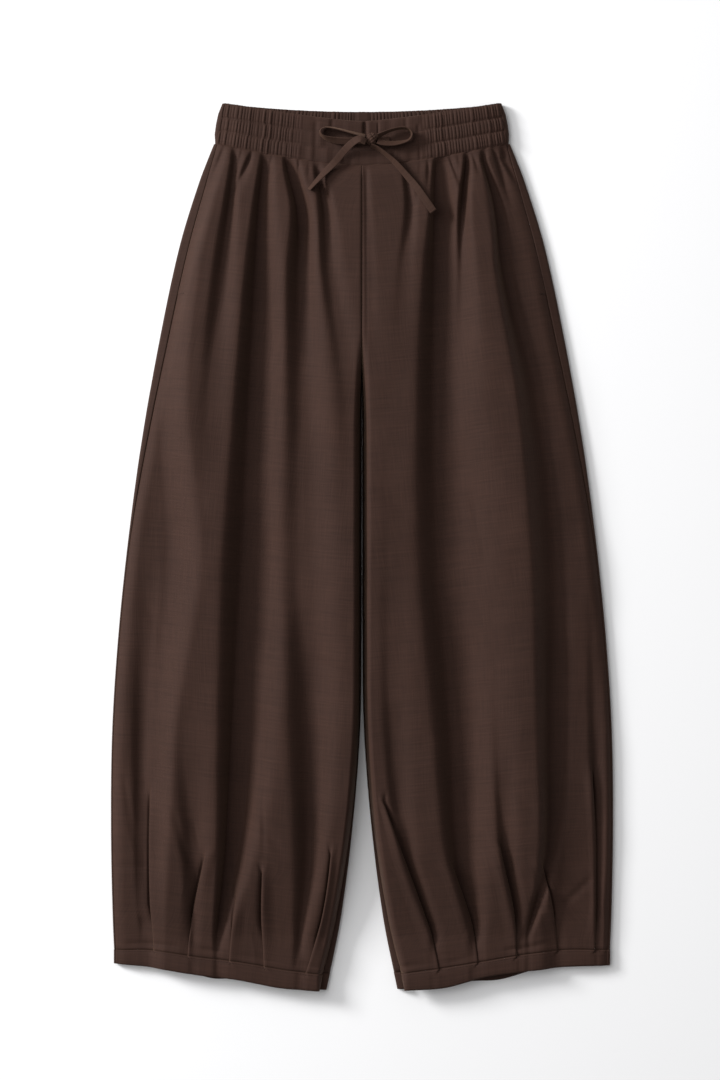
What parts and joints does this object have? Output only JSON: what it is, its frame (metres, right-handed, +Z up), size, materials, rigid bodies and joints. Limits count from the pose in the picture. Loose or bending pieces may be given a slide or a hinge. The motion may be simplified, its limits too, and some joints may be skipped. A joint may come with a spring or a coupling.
{
  "type": "shalwar trousers",
  "caption": "Balloon-leg shalwar trousers in slubbed cloth, laid flat: gathered elastic waistband with a tied drawstring, side-seam pockets and tucked hems.",
  "frame": {"origin": "on the table, under the middle of the outline", "axes": "+Z up from the table, +Y towards the waist, +X towards the wearer's left leg"},
  "size_m": [0.554, 0.976, 0.0324],
  "materials": {
    "cloth": "slubbed plain weave, soft sheen",
    "inside_cloth": "slubbed plain weave, matt",
    "tape": "folded and stitched cloth tape"
  },
  "bodies": {
    "root": {"front_left": "cloth", "front_right": "cloth", "back_left": "inside_cloth", "back_right": "inside_cloth", "hem_front_left": "cloth", "hem_front_right": "cloth", "hem_back_left": "inside_cloth", "hem_back_right": "inside_cloth", "waistband_front": "cloth", "waistband_back": "inside_cloth", "drawstring_lead_left": "tape", "drawstring_lead_right": "tape", "drawstring_loop_left": "tape", "drawstring_loop_right": "tape", "drawstring_end_left": "tape", "drawstring_end_right": "tape", "drawstring_knot": "tape"}
  },
  "joints": []
}
